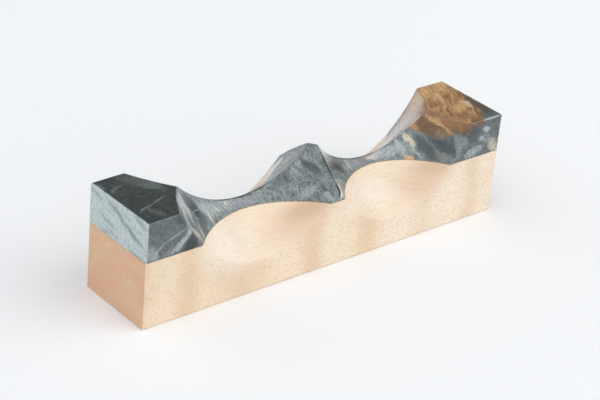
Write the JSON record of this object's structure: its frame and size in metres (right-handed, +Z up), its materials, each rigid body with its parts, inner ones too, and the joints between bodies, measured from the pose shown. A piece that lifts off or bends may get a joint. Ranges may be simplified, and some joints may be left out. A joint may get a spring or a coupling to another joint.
{
  "type": "dip pen holder",
  "caption": "Free-standing wooden pen rest: pale hardwood base with a burl cap, hollowed from front and back into low ridges that cradle dip pens between raised ends.",
  "frame": {"origin": "middle of the underside, where the rest stands on the desk", "axes": "+X along the length, +Y across the width towards the back, +Z up"},
  "size_m": [0.1, 0.0206, 0.0256],
  "materials": {
    "maple": "satin",
    "adhesive": "matte",
    "burl": "satin"
  },
  "bodies": {
    "root": {"base_block": "maple", "glue_line": "adhesive", "top_cap": "burl"}
  },
  "joints": []
}
